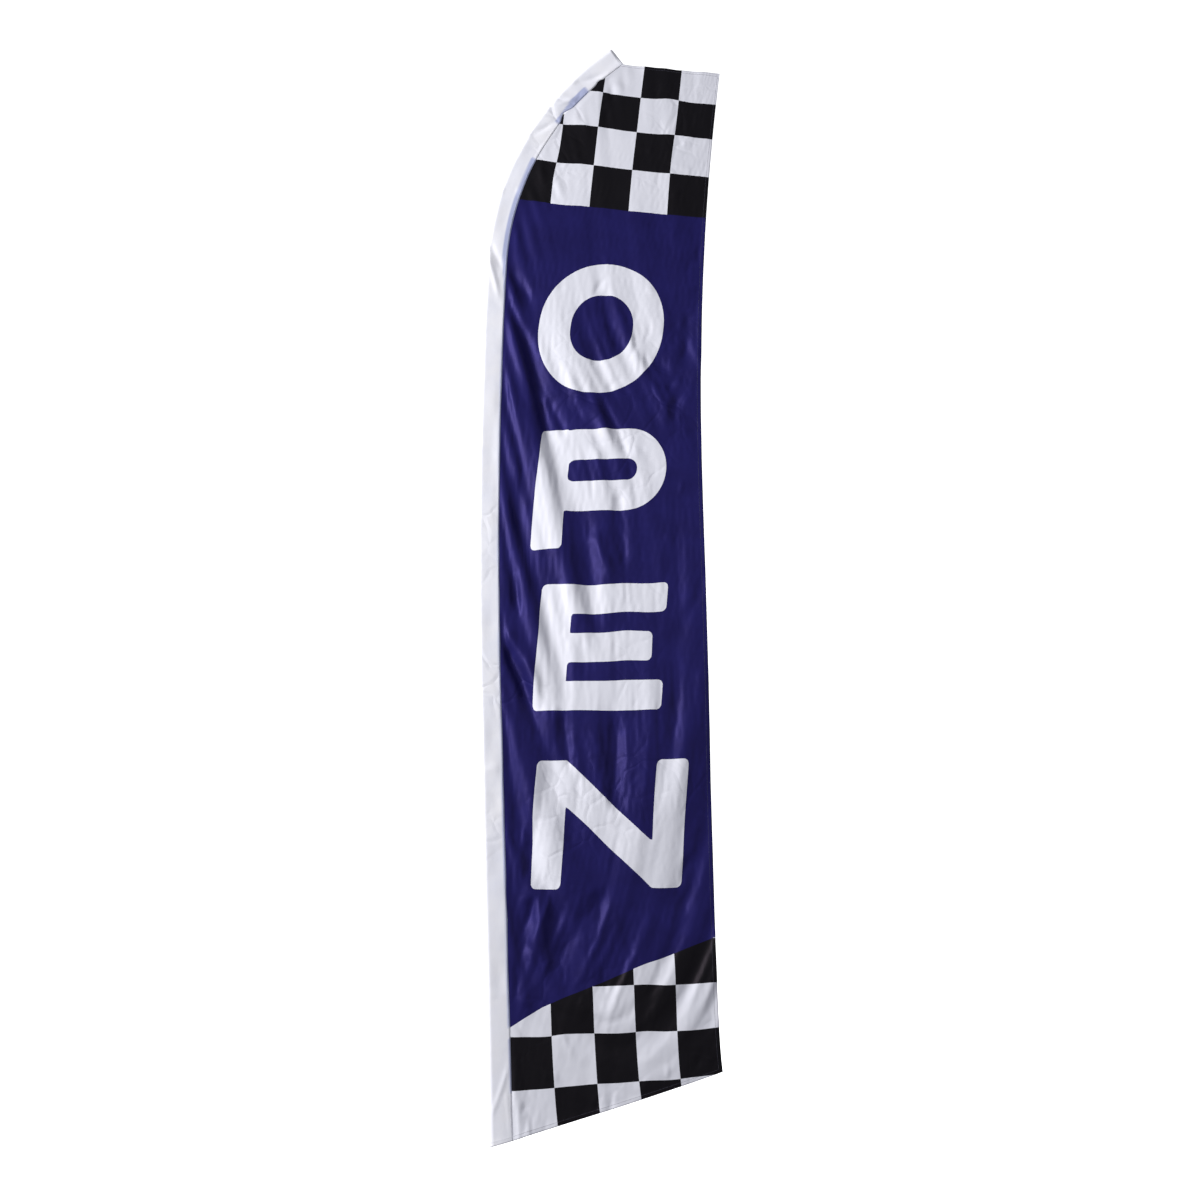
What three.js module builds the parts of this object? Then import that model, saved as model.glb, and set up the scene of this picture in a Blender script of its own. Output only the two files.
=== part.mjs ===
// A swooper feather flag on its bowed pole, in millimetres, +Z up.
// The origin is the centre of the pole's foot, where the ground stake's spigot goes in, and +Z
// runs up the straight lower tube. The cloth hangs in the XZ plane: the pole sleeve along the
// hoist, the fly edge towards +X, the printed face towards -Y.
import * as THREE from 'three';

// ---- Driving dimensions -------------------------------------------------------------------

// The pole's centre line: a straight foot, a long gentle bow, then the hooked top.
const STRAIGHT_END = 1300;
const BOW_END = 2720;
const BOW_LEAN = THREE.MathUtils.degToRad(4.5);
const HOOK_RADIUS = 1000;

// Pole sections. Two aluminium tubes of one size, then a tapered fibreglass rod.
const TUBE_R = 9.5;
const TUBE_BORE_R = 8;
const PLUG_R = 7.7;
const LOWER_TUBE_TOP = 1200;
const MIDDLE_TUBE_TOP = 2400;
const ROD_SEAT = 48;
const ROD_ROOT_R = 5;
const ROD_TIP_R = 2.6;
const ROD_TOP = 3590;
const CAP_R = 6.5;
const CAP_TOP = 3600;

// The ferrule at the pole's foot, with a socket for the stake's 12.7 mm spigot.
const SOCKET_R = 6.4;
const SOCKET_DEPTH = 86;
const FERRULE_TOP = 92;
const PLUG_LENGTH = 60;
const FLANGE = 3;

// The turning collar that holds the cloth down, between two crimped rings.
const COLLAR_LOW = 34;
const COLLAR_HIGH = 48;
const COLLAR_R = 11.2;
const COLLAR_GROOVE_R = 10.1;
const STOP_HEIGHT = 6;
const BAND_HEIGHT = 6;
const BAND_TAIL = 44;

// The sleeve is a drop-shaped tube: round over the pole, pinched flat at the panel's seam.
const SLEEVE_R = 13;
const SLEEVE_WALL = 1;
const SEAM_OFFSET = 56;
const SLEEVE_TIP_HALF = 0.6;
const SLEEVE_LOW = -15;
const SLEEVE_TOP = 3615;
const END_FOLD = 5.5;
const HEM_SLANT = 0.22;

// The panel, between the sleeve's seam and the fly edge.
const PANEL_THICK = 1;
const FLY_LOW = 168;
const FLY_HIGH = 3377;
const FLY_OFFSET = 657;
const FLY_SLOPE = 0.027;
const FLY_BEND_START = 2050;
const FLY_BEND_RADIUS = 9360;
const FLY_FLARE = 11.5;
const FLARE_LENGTH = 150;
const BILLOW = 24;
const BILLOW_LENGTH = 2900;
const RIPPLE = 9;
const RIPPLE_LENGTH = 1050;
const TAUTNESS = 0.9;
const HEM = 12;
const PANEL_COLUMNS = 12;

// Rows of thread, drawn as flat cords that lie on the cloth.
const STITCH_HALF = 0.8;
const STITCH_THICK = 0.5;
const SEAM_STITCH_INSET = 5;

// Clearance between pieces that touch, and between those that turn on each other.
const GAP = 0.4;
const RUNNING_GAP = 0.4;
const ROUND_SIDES = 24;

// ---- The pole's centre line ---------------------------------------------------------------

// The place on the centre line at path length s, with how far it leans towards the fly.
function poleAt(s) {
  const bowRadius = (BOW_END - STRAIGHT_END) / BOW_LEAN;
  if (s <= STRAIGHT_END) {
    return { x: 0, z: s, lean: 0 };
  }
  const bow = Math.min(s, BOW_END) - STRAIGHT_END;
  const bowLean = bow / bowRadius;
  const x = bowRadius * (1 - Math.cos(bowLean));
  const z = STRAIGHT_END + bowRadius * Math.sin(bowLean);
  if (s <= BOW_END) {
    return { x, z, lean: bowLean };
  }
  const lean = BOW_LEAN + (s - BOW_END) / HOOK_RADIUS;
  return {
    x: x + HOOK_RADIUS * (Math.cos(BOW_LEAN) - Math.cos(lean)),
    z: z + HOOK_RADIUS * (Math.sin(lean) - Math.sin(BOW_LEAN)),
    lean,
  };
}

// A point beside the centre line: offset is measured towards the fly, side along Y.
function besidePole(s, offset, side) {
  const { x, z, lean } = poleAt(s);
  return new THREE.Vector3(x + offset * Math.cos(lean), side, z - offset * Math.sin(lean));
}

// The stretch of centre line between two path lengths, for extruding along.
class PoleStretch extends THREE.Curve {
  constructor(from, to) {
    super();
    this.from = from;
    this.to = to;
  }

  getPoint(t, target = new THREE.Vector3()) {
    return target.copy(besidePole(THREE.MathUtils.lerp(this.from, this.to, t), 0, 0));
  }
}

// ---- Solids -------------------------------------------------------------------------------

function signedVolume(positions) {
  const [a, b, c] = [new THREE.Vector3(), new THREE.Vector3(), new THREE.Vector3()];
  let volume = 0;
  for (let i = 0; i < positions.count; i += 3) {
    a.fromBufferAttribute(positions, i);
    b.fromBufferAttribute(positions, i + 1);
    c.fromBufferAttribute(positions, i + 2);
    volume += a.dot(b.cross(c)) / 6;
  }
  return volume;
}

// Gives every triangle its own corners and turns them all to face out.
function facingOut(geometry) {
  const loose = geometry.index ? geometry.toNonIndexed() : geometry;
  const positions = loose.getAttribute('position');
  if (signedVolume(positions) < 0) {
    for (let i = 0; i < positions.count; i += 3) {
      const b = new THREE.Vector3().fromBufferAttribute(positions, i + 1);
      const c = new THREE.Vector3().fromBufferAttribute(positions, i + 2);
      positions.setXYZ(i + 1, c.x, c.y, c.z);
      positions.setXYZ(i + 2, b.x, b.y, b.z);
    }
  }
  loose.computeVertexNormals();
  return loose;
}

// Skins a body over successive rings of points. Both end rings are closed by a strip that joins
// point j to point last - j, so a ring runs down one side of the body and back up the other.
function skinRings(rings) {
  const size = rings[0].length;
  const last = size - 1;
  const top = (rings.length - 1) * size;
  const index = [];
  for (let row = 0; row < top; row += size) {
    for (let j = 0; j < size; j += 1) {
      const next = (j + 1) % size;
      index.push(row + j, row + next, row + size + next);
      index.push(row + j, row + size + next, row + size + j);
    }
  }
  for (let j = 0; j < size / 2 - 1; j += 1) {
    index.push(last - j, last - j - 1, j + 1, last - j, j + 1, j);
    index.push(top + j, top + j + 1, top + last - j - 1, top + j, top + last - j - 1, top + last - j);
  }
  const geometry = new THREE.BufferGeometry().setFromPoints(rings.flat());
  geometry.setIndex(index);
  return geometry;
}

// A round body on the Z axis, from [radius, height] corners.
function turned(profile) {
  const corners = profile.map(([r, z]) => new THREE.Vector2(r, z));
  const geometry = new THREE.LatheGeometry(corners, ROUND_SIDES);
  geometry.rotateX(Math.PI / 2);
  return geometry;
}

// A straight-sided ring on the Z axis.
function turnedRing(innerR, outerR, low, high) {
  return turned([[innerR, low], [outerR, low], [outerR, high], [innerR, high], [innerR, low]]);
}

// A round section of the given radius across the pole.
function roundRing(s, radius, sides = 12) {
  const ring = [];
  for (let i = 0; i < sides; i += 1) {
    const angle = ((i + 0.5) / sides) * 2 * Math.PI;
    ring.push(besidePole(s, radius * Math.cos(angle), radius * Math.sin(angle)));
  }
  return ring;
}

// A drop-shaped section as [offset, side] pairs: an arc round the pole between two straight
// flanks that meet at the seam.
function dropSection(radius, tipOffset, tipHalf, arcSteps = 9) {
  const distance = Math.hypot(tipOffset, tipHalf);
  const start = Math.atan2(tipHalf, tipOffset) + Math.acos(radius / distance);
  const section = [[tipOffset, -tipHalf]];
  for (let i = 0; i <= arcSteps; i += 1) {
    const angle = -THREE.MathUtils.lerp(start, 2 * Math.PI - start, i / arcSteps);
    section.push([radius * Math.cos(angle), radius * Math.sin(angle)]);
  }
  section.push([tipOffset, tipHalf]);
  return section;
}

// The section set across the pole. At the mouth it is cut on the slant of the bottom hem.
function sectionRing(section, s, slant = 0) {
  return section.map(([offset, side]) => besidePole(s + slant * (offset + SLEEVE_R), offset, side));
}

// ---- The pole -----------------------------------------------------------------------------

// The socket below, and above it a plug that is pressed into the lower tube.
function footFerrule() {
  return turned([
    [0, FERRULE_TOP + PLUG_LENGTH],
    [PLUG_R, FERRULE_TOP + PLUG_LENGTH],
    [PLUG_R, FERRULE_TOP],
    [TUBE_R, FERRULE_TOP],
    [TUBE_R, 0],
    [SOCKET_R, 0],
    [SOCKET_R, SOCKET_DEPTH],
    [0, SOCKET_DEPTH],
  ]);
}

function lowerTube() {
  return turnedRing(TUBE_BORE_R, TUBE_R, FERRULE_TOP + GAP, LOWER_TUBE_TOP);
}

// Pressed into the lower tube, and the journal that the middle tube turns on.
function jointSpigot() {
  const journalLength = 84;
  const chamfer = 1.5;
  const flangeLow = LOWER_TUBE_TOP + GAP;
  const flangeHigh = flangeLow + 2 * FLANGE;
  const journalR = TUBE_BORE_R - RUNNING_GAP;
  return turned([
    [0, LOWER_TUBE_TOP - PLUG_LENGTH],
    [PLUG_R, LOWER_TUBE_TOP - PLUG_LENGTH],
    [PLUG_R, flangeLow],
    [TUBE_R, flangeLow],
    [TUBE_R, flangeHigh],
    [journalR, flangeHigh],
    [journalR, flangeHigh + journalLength - chamfer],
    [journalR - chamfer, flangeHigh + journalLength],
    [0, flangeHigh + journalLength],
  ]);
}

function middleTube() {
  const steps = 10;
  const ring = new THREE.Shape().absarc(0, 0, TUBE_R, 0, 2 * Math.PI);
  ring.holes.push(new THREE.Path().absarc(0, 0, TUBE_BORE_R, 0, 2 * Math.PI));
  const foot = LOWER_TUBE_TOP + 2 * FLANGE + 2 * GAP;
  return new THREE.ExtrudeGeometry(ring, {
    curveSegments: ROUND_SIDES / 2,
    steps,
    extrudePath: new PoleStretch(foot, MIDDLE_TUBE_TOP),
  });
}

// The plug in the middle tube's top that steps down to the rod, drawn from the tube's end.
function rodReducer() {
  const noseR = 7.2;
  const noseTop = 40;
  const boreR = ROD_ROOT_R + GAP;
  return turned([
    [0, -PLUG_LENGTH],
    [PLUG_R, -PLUG_LENGTH],
    [PLUG_R, GAP],
    [TUBE_R, GAP],
    [TUBE_R, 2 * FLANGE],
    [noseR, noseTop],
    [boreR, noseTop],
    [boreR, -ROD_SEAT],
    [0, -ROD_SEAT],
  ]);
}

const ROD_ROOT = MIDDLE_TUBE_TOP - ROD_SEAT + GAP;
const TAPER_START = MIDDLE_TUBE_TOP + 50;

function rodRadius(s) {
  const along = THREE.MathUtils.clamp((s - TAPER_START) / (ROD_TOP - TAPER_START), 0, 1);
  return THREE.MathUtils.lerp(ROD_ROOT_R, ROD_TIP_R, along);
}

function tipRod() {
  const rings = [roundRing(ROD_ROOT, ROD_ROOT_R), roundRing(TAPER_START, ROD_ROOT_R)];
  const steps = 24;
  for (let i = 1; i <= steps; i += 1) {
    const s = THREE.MathUtils.lerp(TAPER_START, ROD_TOP, i / steps);
    rings.push(roundRing(s, rodRadius(s)));
  }
  return skinRings(rings);
}

// A soft cup over the rod's end, so that it doesn't cut the cloth.
function tipCap() {
  const mouth = CAP_TOP - 40;
  const inner = (s) => roundRing(s, rodRadius(s) + 2 * GAP);
  const dome = [[8, 1], [4, 0.86], [1, 0.52], [0, 0.2]];
  return skinRings([
    inner(ROD_TOP + GAP),
    inner(mouth),
    roundRing(mouth, CAP_R),
    ...dome.map(([below, share]) => roundRing(CAP_TOP - below, CAP_R * share)),
  ]);
}

// ---- What holds the cloth down ------------------------------------------------------------

function stopRing(low) {
  return turnedRing(TUBE_R + GAP, COLLAR_R, low, low + STOP_HEIGHT);
}

function swivelCollar() {
  const innerR = TUBE_R + RUNNING_GAP;
  const lip = (COLLAR_HIGH - COLLAR_LOW - BAND_HEIGHT) / 2 - GAP;
  return turned([
    [innerR, COLLAR_LOW],
    [COLLAR_R, COLLAR_LOW],
    [COLLAR_R, COLLAR_LOW + lip],
    [COLLAR_GROOVE_R, COLLAR_LOW + lip],
    [COLLAR_GROOVE_R, COLLAR_HIGH - lip],
    [COLLAR_R, COLLAR_HIGH - lip],
    [COLLAR_R, COLLAR_HIGH],
    [innerR, COLLAR_HIGH],
    [innerR, COLLAR_LOW],
  ]);
}

// Elastic tape round the collar's groove, with a tail that is sewn in at the sleeve's seam.
function tieBand() {
  const tailHalf = 0.8;
  const turnAway = Math.asin(tailHalf / COLLAR_R);
  const outline = new THREE.Shape();
  outline.moveTo(BAND_TAIL, -tailHalf);
  outline.lineTo(BAND_TAIL, tailHalf);
  outline.absarc(0, 0, COLLAR_R, turnAway, 2 * Math.PI - turnAway);
  outline.closePath();
  outline.holes.push(new THREE.Path().absarc(0, 0, COLLAR_GROOVE_R + GAP, 0, 2 * Math.PI));
  const geometry = new THREE.ExtrudeGeometry(outline, {
    depth: BAND_HEIGHT,
    bevelEnabled: false,
    curveSegments: ROUND_SIDES / 2,
  });
  geometry.translate(0, 0, (COLLAR_LOW + COLLAR_HIGH - BAND_HEIGHT) / 2);
  return geometry;
}

// ---- The cloth ----------------------------------------------------------------------------

const OUTER_DROP = dropSection(SLEEVE_R, SEAM_OFFSET, SLEEVE_TIP_HALF);
const INNER_DROP = dropSection(SLEEVE_R - SLEEVE_WALL, SEAM_OFFSET - 7, 0.25);
const SEAM_LOW = SLEEVE_LOW + HEM_SLANT * (SLEEVE_R + SEAM_OFFSET);

// Path lengths where the sleeve and the panel both have a row of points: few along the straight
// foot, close together round the hook, with one row at each hem.
function clothStations() {
  const stations = [SEAM_LOW, SEAM_LOW + HEM];
  const stretches = [[STRAIGHT_END, 6], [BOW_END, 11], [SLEEVE_TOP - HEM, 14]];
  let from = SEAM_LOW + HEM;
  for (const [to, steps] of stretches) {
    for (let i = 1; i <= steps; i += 1) {
      stations.push(THREE.MathUtils.lerp(from, to, i / steps));
    }
    from = to;
  }
  stations.push(SLEEVE_TOP);
  return stations;
}

const STATIONS = clothStations();

// One white strip folded round the pole and sewn to the panel, open at the mouth and folded shut
// at the tip: down the inside, round the mouth, and back up the outside.
function poleSleeve() {
  const between = STATIONS.slice(1, -1);
  const innerTop = SLEEVE_TOP - END_FOLD;
  const inside = between.filter((s) => s < innerTop).reverse();
  return skinRings([
    sectionRing(INNER_DROP, innerTop),
    ...inside.map((s) => sectionRing(INNER_DROP, s)),
    sectionRing(INNER_DROP, SLEEVE_LOW, HEM_SLANT),
    sectionRing(OUTER_DROP, SLEEVE_LOW, HEM_SLANT),
    ...between.map((s) => sectionRing(OUTER_DROP, s)),
    sectionRing(OUTER_DROP, SLEEVE_TOP),
  ]);
}

// A small heavy-cloth cup in the sleeve's end, which takes the thrust of the rod.
function tipPocket() {
  const inner = dropSection(CAP_R + 1.1, 40, 0.2);
  const outer = dropSection(CAP_R + 2.1, 43, 0.5);
  const mouth = CAP_TOP - 60;
  const innerTop = CAP_TOP + 3;
  const outerTop = innerTop + SLEEVE_WALL * 2;
  return skinRings([
    sectionRing(inner, innerTop),
    sectionRing(inner, mouth),
    sectionRing(outer, mouth),
    sectionRing(outer, outerTop),
  ]);
}

// Where the fly edge stands at a height: nearly upright, bending after the pole near the top,
// with a slight flare at the loose bottom corner.
function flyEdge(z) {
  const bend = Math.max(0, z - FLY_BEND_START) ** 2 / (2 * FLY_BEND_RADIUS);
  const flare = FLY_FLARE * Math.exp(-(z - FLY_LOW) / FLARE_LENGTH);
  return FLY_OFFSET + FLY_SLOPE * z + bend + flare;
}

// How far the cloth stands off the pole's plane: nothing at the seam, most at the fly edge, and
// less towards the top, where the hooked pole pulls it taut.
function billow(across, z) {
  const ease = across * across * (3 - 2 * across) * (1 - (TAUTNESS * z) / FLY_HIGH);
  const slow = BILLOW * Math.sin((2 * Math.PI * z) / BILLOW_LENGTH + 0.6);
  const quick = RIPPLE * Math.sin((2 * Math.PI * z) / RIPPLE_LENGTH + 1.9);
  return ease * (slow + quick);
}

// A point of the panel's middle surface. across is 0 at the seam and 1 at the fly edge, and s is
// the path length of the row's seam end.
function panelPoint(across, s) {
  const up = (s - SEAM_LOW) / (SLEEVE_TOP - SEAM_LOW);
  const seam = besidePole(s, SEAM_OFFSET + GAP, 0);
  const flyZ = THREE.MathUtils.lerp(FLY_LOW, FLY_HIGH, up);
  const point = seam.lerp(new THREE.Vector3(flyEdge(flyZ), 0, flyZ), across);
  point.y = billow(across, point.z);
  return point;
}

const HEM_ACROSS = 1 - HEM / FLY_OFFSET;

function panelColumns() {
  const columns = [];
  for (let i = 0; i < PANEL_COLUMNS; i += 1) {
    columns.push((HEM_ACROSS * i) / (PANEL_COLUMNS - 1));
  }
  return [...columns, 1];
}

function flagPanel() {
  const columns = panelColumns();
  const shift = new THREE.Vector3(0, PANEL_THICK / 2, 0);
  return skinRings(STATIONS.map((s) => {
    const front = columns.map((across) => panelPoint(across, s).sub(shift));
    const back = columns.map((across) => panelPoint(across, s).add(shift)).reverse();
    return [...front, ...back];
  }));
}

// ---- Rows of thread -----------------------------------------------------------------------

// A flat cord through the points, wide along the given direction at each and thick along lift.
function threadRow(points, wide, lift) {
  return skinRings(points.map((point, i) => {
    const across = wide[i].clone().setLength(STITCH_HALF);
    const proud = lift[i].clone().setLength(STITCH_THICK);
    const near = point.clone();
    const far = point.clone().add(proud);
    return [
      near.clone().sub(across),
      near.clone().add(across),
      far.clone().add(across),
      far.clone().sub(across),
    ];
  }));
}

const TO_FRONT = new THREE.Vector3(0, -1, 0);

// Thread on the panel's printed face, between neighbouring rows or columns of its points.
function panelThread(places, wide) {
  const off = PANEL_THICK / 2 + GAP;
  const points = places.map(([across, s]) => panelPoint(across, s).addScaledVector(TO_FRONT, off));
  return threadRow(points, points.map(() => wide), points.map(() => TO_FRONT));
}

function flyHemThread() {
  const rows = STATIONS.slice(1, -1);
  return panelThread(rows.map((s) => [HEM_ACROSS, s]), new THREE.Vector3(1, 0, 0));
}

function crossHemThread(s) {
  const columns = panelColumns().slice(1, -2);
  return panelThread(columns.map((across) => [across, s]), new THREE.Vector3(0, 0, 1));
}

// The row that joins sleeve and panel, on the sleeve's flank just short of its seam edge.
function seamThread() {
  const inset = SEAM_OFFSET - SEAM_STITCH_INSET;
  const [tip, shoulder] = OUTER_DROP;
  const slope = (shoulder[1] - tip[1]) / (shoulder[0] - tip[0]);
  const side = tip[1] + slope * (inset - tip[0]) - GAP - STITCH_HALF * Math.abs(slope);
  const rows = STATIONS.slice(1, -2);
  const points = rows.map((s) => besidePole(s, inset, side));
  const wide = rows.map((s) => besidePole(s, 1, 0).sub(besidePole(s, 0, 0)));
  return threadRow(points, wide, rows.map(() => TO_FRONT));
}

// A row round the sleeve from one flank to the other, by way of the hoist edge.
function sleeveThread(s, slant) {
  const section = dropSection(SLEEVE_R + GAP, SEAM_OFFSET - SEAM_STITCH_INSET * 2, 3.4);
  const points = sectionRing(section, s, slant);
  const up = besidePole(s + 1, 0, 0).sub(besidePole(s, 0, 0));
  const lift = section.map(([offset, side]) => {
    const outward = Math.min(offset, 0);
    return besidePole(s, outward, side).sub(besidePole(s, 0, 0));
  });
  return threadRow(points, points.map(() => up), lift);
}

// ---- Assembly -----------------------------------------------------------------------------

const ALUMINIUM = { color: 0xb9bcc0, roughness: 0.38, metalness: 1 };
const FIBREGLASS = { color: 0xe8e4d6, roughness: 0.5, metalness: 0 };
const BLACK_PLASTIC = { color: 0x1d1d20, roughness: 0.55, metalness: 0 };
const STEEL = { color: 0x9a9da2, roughness: 0.35, metalness: 1 };
const WHITE_CLOTH = { color: 0xe2e3ec, roughness: 0.85, metalness: 0 };
const BLUE_CLOTH = { color: 0x28235f, roughness: 0.8, metalness: 0 };
const HEAVY_CLOTH = { color: 0xc9cbd2, roughness: 0.9, metalness: 0 };
const ELASTIC = { color: 0x2a2a2e, roughness: 0.9, metalness: 0 };
const THREAD = { color: 0xdcdde6, roughness: 0.7, metalness: 0 };

function piece(name, geometry, finish) {
  const mesh = new THREE.Mesh(facingOut(geometry), new THREE.MeshStandardMaterial(finish));
  mesh.name = name;
  return mesh;
}

const LOWER_STOP = COLLAR_LOW - GAP - STOP_HEIGHT;
const UPPER_STOP = COLLAR_HIGH + GAP;

// What stays still on the stake: the ferrule, the lower tube and what is fixed to them.
const foot = new THREE.Group();
foot.add(
  piece('foot_ferrule', footFerrule(), BLACK_PLASTIC),
  piece('lower_tube', lowerTube(), ALUMINIUM),
  piece('joint_spigot', jointSpigot(), ALUMINIUM),
  piece('lower_stop_ring', stopRing(LOWER_STOP), STEEL),
  piece('upper_stop_ring', stopRing(UPPER_STOP), STEEL),
);

// What turns with the wind: the upper pole, and the cloth with its collar.
const upperPole = new THREE.Group();
const reducer = piece('rod_reducer', rodReducer(), BLACK_PLASTIC);
reducer.position.copy(besidePole(MIDDLE_TUBE_TOP, 0, 0));
reducer.rotation.y = poleAt(MIDDLE_TUBE_TOP).lean;
upperPole.add(
  piece('middle_tube', middleTube(), ALUMINIUM),
  reducer,
  piece('tip_rod', tipRod(), FIBREGLASS),
  piece('tip_cap', tipCap(), BLACK_PLASTIC),
);

const cloth = new THREE.Group();
cloth.add(
  piece('swivel_collar', swivelCollar(), BLACK_PLASTIC),
  piece('tie_band', tieBand(), ELASTIC),
  piece('pole_sleeve', poleSleeve(), WHITE_CLOTH),
  piece('tip_pocket', tipPocket(), HEAVY_CLOTH),
  piece('flag_panel', flagPanel(), BLUE_CLOTH),
  piece('seam_thread', seamThread(), THREAD),
  piece('fly_hem_thread', flyHemThread(), THREAD),
  piece('top_hem_thread', crossHemThread(SLEEVE_TOP - HEM), THREAD),
  piece('bottom_hem_thread', crossHemThread(SEAM_LOW + HEM), THREAD),
  piece('mouth_thread', sleeveThread(SLEEVE_LOW + HEM, HEM_SLANT), THREAD),
  piece('tip_thread', sleeveThread(SLEEVE_TOP - HEM, 0), THREAD),
);

const flag = new THREE.Group();
flag.add(foot, upperPole, cloth);

export default flag;
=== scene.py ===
# The looks of a swooper feather flag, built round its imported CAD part. Metres, +Z up: the pole's
# foot is at the origin, the fly edge is towards +X, and the printed face looks towards -Y.
import math

import bpy
import numpy as np
from mathutils import Matrix, Vector


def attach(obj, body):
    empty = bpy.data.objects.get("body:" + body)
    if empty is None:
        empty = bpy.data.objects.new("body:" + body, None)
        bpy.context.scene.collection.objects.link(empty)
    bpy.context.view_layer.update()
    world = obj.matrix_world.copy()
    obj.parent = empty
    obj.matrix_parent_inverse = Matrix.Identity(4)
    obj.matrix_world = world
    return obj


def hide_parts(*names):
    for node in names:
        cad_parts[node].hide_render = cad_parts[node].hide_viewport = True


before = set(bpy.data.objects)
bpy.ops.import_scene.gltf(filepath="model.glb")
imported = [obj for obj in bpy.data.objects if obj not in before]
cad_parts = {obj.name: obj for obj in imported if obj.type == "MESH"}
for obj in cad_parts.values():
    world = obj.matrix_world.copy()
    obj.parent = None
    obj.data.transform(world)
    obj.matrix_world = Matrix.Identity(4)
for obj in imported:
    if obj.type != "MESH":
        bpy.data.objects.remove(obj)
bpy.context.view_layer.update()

# ---- Driving dimensions, the same lines as the CAD part's ----------------------------------

# The pole's centre line: a straight foot, a long gentle bow, then the hooked top.
STRAIGHT_END = 1.300
BOW_END = 2.720
BOW_LEAN = math.radians(4.5)
HOOK_RADIUS = 1.000

# The sleeve round the pole, up to its seam with the panel.
SLEEVE_R = 0.013
SEAM_OFFSET = 0.056
SLEEVE_LOW = -0.015
SLEEVE_TOP = 3.615
HEM_SLANT = 0.22
SEAM_LOW = SLEEVE_LOW + HEM_SLANT * (SLEEVE_R + SEAM_OFFSET)

# The fly edge, and how far the panel billows.
FLY_LOW = 0.168
FLY_HIGH = 3.377
FLY_OFFSET = 0.657
FLY_SLOPE = 0.027
FLY_BEND_START = 2.050
FLY_BEND_RADIUS = 9.360
FLY_FLARE = 0.0115
FLARE_LENGTH = 0.150
BILLOW = 0.024
BILLOW_LENGTH = 2.900
RIPPLE = 0.009
RIPPLE_LENGTH = 1.050
TAUTNESS = 0.9
HEM = 0.012

# ---- Dimensions that only the looks need ---------------------------------------------------

# The panel's depth: the middle of the room that its folds may take up, and the room to each side.
ROOM_MIDDLE = 0.002
ROOM = 0.028

# The cloth as it was cut: the panel's width, the checks, and the blue field between them.
CHECK = 0.136
CHECK_COLUMNS = 5
CUT_WIDTH = CHECK * CHECK_COLUMNS
TOP_CHECKS = 2.858
TOP_CHECK_ROW = 0.1302
LOW_CHECKS = 0.424
LOW_CHECK_ROW = 0.131
BLUE_EDGE = 0.335
BLUE_EDGE_RISE = 0.329
BLUE_EDGE_DROP = 0.020
CLOTH_THICK = 0.0006
ALLOWANCE = 0.016

# How the print lies on the hanging cloth: its rows droop towards the fly by some degrees, less at
# the foot and more near the tip, and folds take up a share of its width.
DROOP = 1.2
DROOP_AT_TIP = 6.8
DROOP_LOST_AT_FOOT = 3.4
WIDTH_SHARE = 0.905
WIDTH_SHARE_RISE = 0.036
WIDTH_SHARE_DROP = 0.011
HOOK_PULL = 0.014
PRINT_DRIFT = 0.0035
# The hanging height of the lowest of the top rows, and how much less each one above it hangs.
TOP_ROW_HUNG = 0.152
TOP_ROW_LOSS = 0.0054

# The pole's collar, its elastic tape, and the pocket in the sleeve's tip.
COLLAR_MIDDLE = 0.041
BAND_R = 0.0108
BAND_HEIGHT = 0.006
BAND_TAIL = 0.044
CAP_TOP = 3.600
POCKET_R = 0.0081
POCKET_OFFSET = 0.0415


# ---- Camera, floor and light ---------------------------------------------------------------

def add_camera():
    """About 5 m in front of the flag and a little above its foot, looking up."""
    place = Vector((0.3259, -4.912, 0.4823))
    pitch = math.radians(12.69)
    roll = math.radians(2.28)
    right = Vector((math.cos(roll), 0, -math.sin(roll)))
    level_up = Vector((math.sin(roll), 0, math.cos(roll)))
    ahead = math.cos(pitch) * Vector((0, 1, 0)) + math.sin(pitch) * level_up
    up = right.cross(ahead)
    camera = bpy.data.objects.new("camera", bpy.data.cameras.new("camera"))
    camera.data.lens = 48.74
    camera.data.sensor_width = 36
    camera.matrix_world = Matrix((
        (right.x, up.x, -ahead.x, place.x),
        (right.y, up.y, -ahead.y, place.y),
        (right.z, up.z, -ahead.z, place.z),
        (0, 0, 0, 1),
    ))
    bpy.context.scene.collection.objects.link(camera)
    bpy.context.scene.camera = camera


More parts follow.
